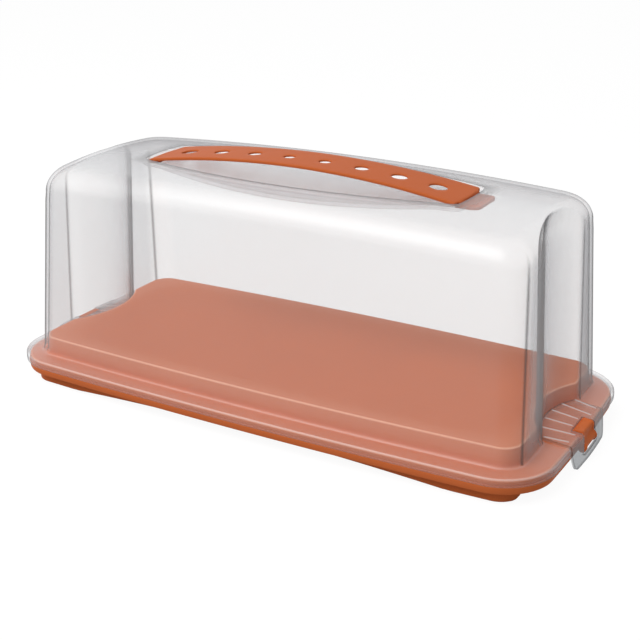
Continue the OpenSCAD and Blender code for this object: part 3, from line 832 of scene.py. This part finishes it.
steps = np.array([-1.5, 0.4, 0.9, 1.3, 1.6, 1.75, 2.1, 2.6])
strap_foot = strap_z - strap_rise
step_tops = [
    strap_foot - 0.1, strap_foot - 0.05, strap_foot - 0.3, strap_foot - 0.8,
    tongue_z + 0.7, tongue_z + 0.3, tongue_z + 0.05, tongue_z,
]
for end, reach in ((1, tongue_l), (-1, hook_l)):
    corner = min(5, reach - 2.5)
    tip = strap_e + reach
    x = np.concatenate([
        strap_e + steps, tip - corner + corner * np.sin(np.linspace(0, math.pi / 2, 12)),
    ])
    top = np.interp(x, strap_e + steps, step_tops)
    rounding = np.clip((x - tip + 0.6) / 0.6, 0, 1)
    drop = 0.5 * (1 - np.sqrt(1 - rounding**2))
    past = np.maximum(0, x - tip + corner)
    half = tongue_w / 2 - corner + np.sqrt(np.maximum(0, corner**2 - past**2))
    slab(strap_quilt, x, top - drop, tongue_z - tongue_t + drop, half, end)

strap_orange = satin_plastic("satin terracotta strap", (0.55, 0.127, 0.036), 0.38, 0.52)
strap = strap_quilt.welded("strap_moulding", "hood", strap_orange, "strap_plastic")
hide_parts("strap")

# ------------------------------------------------------------------------------- clips
# A sprung clip at each end, moulded with the hood on a thin film at its root: a fan of
# low ribs on the panel, a window for the catch, and a flap that turns down outside the
# rim and ends in a bar and a lifting edge.

clip_r, clip_w, clip_t = 320.0, 54.0, 1.7
clip_root_z, flap_z, flap_flare = 20.0, 2.2, 2.1
root_r, window_x, window_w, bar_z = 52.3, 171.0, 19.0, 5.6
bend_r, bend_turn = 1.6, math.radians(82)
rib_h, rib_half = 0.6, 0.75
ribs = [((-23.4, 5.6), (-8.8, 4.8)), ((-21.2, 16.4), (-4.4, 14)), ((-16.9, 26.2), (-4.6, 23.6))]


def panel_z(radius):
    """Height of the panel's upper face, rising in a straight line towards the root."""
    return clip_edge_z + (clip_root_z - clip_edge_z) * (clip_r - bend_r - radius) / 24


def clip_surface(share, position):
    """Outer face of the clip before its ribs. Position runs 0 to 1 over the panel from
    root to window, 1 to 2 to the panel's edge, 2 to 3 round the bend, 3 to 4 down the
    flap to the bar and 4 to 5 over the bar; share runs across in three equal parts,
    beside, within and beyond the window."""
    s, v = np.meshgrid(share, position)
    bend = np.clip(v - 2, 0, 1) * bend_turn
    down_bar = np.clip(v - 3, 0, 1)
    down_edge = np.clip(v - 4, 0, 1)
    r_bend = clip_r - bend_r + bend_r * np.sin(bend)
    z_bend = clip_edge_z - bend_r * (1 - np.cos(bend))
    z_flap = z_bend + (bar_z - z_bend) * down_bar + (flap_z - bar_z) * down_edge
    fall = np.clip((z_bend - z_flap) / (clip_edge_z - bend_r - flap_z), 0, 1)
    r_flap = r_bend + flap_flare * fall
    half = np.interp(
        z_flap, [flap_z, 2.9, 4.4, 7.7, 12.8], [21.4, 23.1, 24.3, 25.5, clip_w / 2])
    window = np.interp(
        z_flap, [flap_z, bar_z, 6.2, 7.1, 13.8], [10.5, 10.5, 11.2, 11.5, window_w / 2])
    a = np.abs(s)
    y = np.sign(s) * np.where(a <= 1, a * window, window + (a - 1) / 2 * (half - window))
    root = bay_x - np.sqrt(root_r**2 - y**2)
    middle = clip_x - clip_r
    r_root = np.hypot(root - middle, y)
    r_window = np.hypot(window_x - middle, y)
    r_panel = np.where(v <= 1, r_root + (r_window - r_root) * v,
                       r_window + (clip_r - bend_r - r_window) * np.clip(v - 1, 0, 1))
    r = np.where(v <= 2, r_panel, r_flap)
    z = np.where(v <= 2, panel_z(r_panel), z_flap)
    return np.stack([middle + np.sqrt(r * r - y * y), y, z], -1)


def rib_height(points):
    """Height of the ribs above the panel: a round back over each rib's line."""
    x, y = points[..., 0] - clip_x, np.abs(points[..., 1])
    height = np.zeros_like(x)
    for (x0, y0), (x1, y1) in ribs:
        length = math.hypot(x1 - x0, y1 - y0)
        ux, uy = (x1 - x0) / length, (y1 - y0) / length
        t = np.clip((x - x0) * ux + (y - y0) * uy, 0, length)
        d = np.hypot(x - x0 - t * ux, y - y0 - t * uy)
        height = np.maximum(height, rib_h * np.sqrt(np.maximum(0, 1 - (d / rib_half) ** 2)))
    return height


def spaced(*stretches):
    """Even steps over each stretch, given as start, end and count, without doubles."""
    return np.unique(np.round(np.concatenate([np.linspace(*s) for s in stretches]), 6))


share = spaced((-3, -1, 61), (-1, 1, 65), (1, 3, 61))
position = spaced((0, 1, 27), (1, 2, 9), (2, 3, 7), (3, 4, 9), (4, 5, 7))
outer = clip_surface(share, position)
slope = np.cross(np.gradient(outer, axis=1), np.gradient(outer, axis=0))
slope /= np.linalg.norm(slope, axis=-1)[..., None]
slope *= np.sign(slope[0, 0, 2])
inner = outer - slope * clip_t
height = rib_height(outer) * (position <= 2)[:, None]
outer[..., 2] += height
rows, columns = outer.shape[:2]
i, j = np.meshgrid(np.arange(rows - 1), np.arange(columns - 1), indexing="ij")
across_window = np.abs((share[j] + share[j + 1]) / 2) < 1
in_window = across_window & (position[i] >= 1) & (position[i + 1] <= 4)
i, j = i[~in_window], j[~in_window]
a = i * columns + j
quads = np.stack([a, a + 1, a + columns + 1, a + columns], -1)
edges = np.stack([quads, np.roll(quads, -1, 1)], -1).reshape(-1, 2)
_, first, counts = np.unique(
    np.sort(edges, 1), axis=0, return_index=True, return_counts=True)
rim_edges = edges[first[counts == 1]]
shift = rows * columns
walls = np.c_[rim_edges[:, ::-1], rim_edges + shift]
clip_vertices = np.concatenate([outer.reshape(-1, 3), inner.reshape(-1, 3)])
clip_faces = np.concatenate([quads, quads[:, ::-1] + shift, walls])
used, clip_faces = np.unique(clip_faces, return_inverse=True)
clip_vertices, clip_faces = clip_vertices[used], clip_faces.reshape(-1, 4)
# Painted highlight on the backs of the ribs and painted dark lines along the clip's edges and
# round its window.
clip_painted_lines = np.concatenate([height.ravel() / rib_h, np.zeros(shift)])
clip_painted_lines[rim_edges.ravel()] = -0.6
# Painted shade: the flap below the bend gets extra depth, which darkens it though it is no thicker
# than the panel.
clip_flap_shade = np.concatenate([3.0 * np.repeat(position > 3, columns), np.zeros(shift)])

# Painted shade: the clips are the hood's plastic, but this copy lets less through and has a darker
# tint.
clear_clip = clear_plastic("clear clip plastic", 0.96, (0.85, 0.855, 0.86), 0.3, 0.03)
for side, name in ((1, "clip_right"), (-1, "clip_left")):
    faces = clip_faces if side > 0 else clip_faces[:, ::-1]
    made = piece(
        name + "_moulding", clip_vertices * (side, 1, 1), faces.tolist(), name, clear_clip,
        "clip_plastic")
    turn_outwards(made.data)
    mark(made, "line", clip_painted_lines[used])
    mark(made, "depth", np.full(len(used), 0.75))
    mark(made, "extra", clip_flap_shade[used])
    rounding = made.modifiers.new("edges", "BEVEL")
    rounding.width, rounding.segments, rounding.limit_method = 0.0003, 2, "ANGLE"
    rounding.angle_limit = math.radians(55)
    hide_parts(name)
